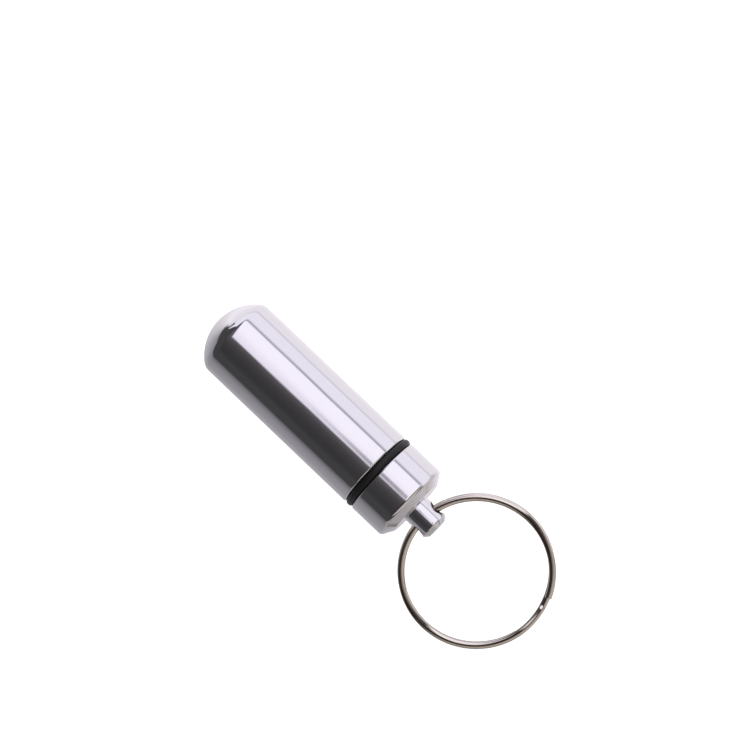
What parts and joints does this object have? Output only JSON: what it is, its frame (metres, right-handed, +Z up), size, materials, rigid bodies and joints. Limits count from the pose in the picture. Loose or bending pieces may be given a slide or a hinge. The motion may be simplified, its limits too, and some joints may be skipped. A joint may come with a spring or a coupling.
{
  "type": "pill fob keychain",
  "caption": "Pocket pill holder: a polished aluminium tube with a domed end and a sealed screw cap, whose cross-drilled stub carries a split key ring.",
  "frame": {"origin": "on the surface the fob lies on, under the middle of its box: half way from the dome tip to the ring's far side, and half way across the ring", "axes": "+X along the barrel from the dome to the ring, +Z up, +Y to the left when looking along +X"},
  "size_m": [0.0708, 0.025, 0.014],
  "materials": {
    "aluminium": "turned and polished",
    "rubber": "matte black",
    "nickel": "nickel-plated spring steel wire"
  },
  "bodies": {
    "tube": {"pill_tube": "aluminium"},
    "seal": {"seal_ring": "rubber"},
    "cap": {"screw_cap": "aluminium"},
    "ring": {"split_ring": "nickel"}
  },
  "joints": [
    {"name": "cap_lift", "type": "slide", "parent": "tube", "child": "seal", "axis": [1, 0, 0], "range_m": [0, 0.006]},
    {"name": "cap_turn", "type": "hinge", "parent": "seal", "child": "cap", "pos_m": [0.00111, 0.00057, 0.007], "axis": [1, 0, 0], "range_deg": [0, 2162]},
    {"name": "ring_swing", "type": "hinge", "parent": "cap", "child": "ring", "pos_m": [0.01129, 0.00057, 0.007], "axis": [0, 0.972, 0.2351], "range_deg": [-165, 145]}
  ],
  "couplings": [
    {"joint": "cap_turn", "follows": "cap_lift", "rad_per_m": 6283.2}
  ]
}
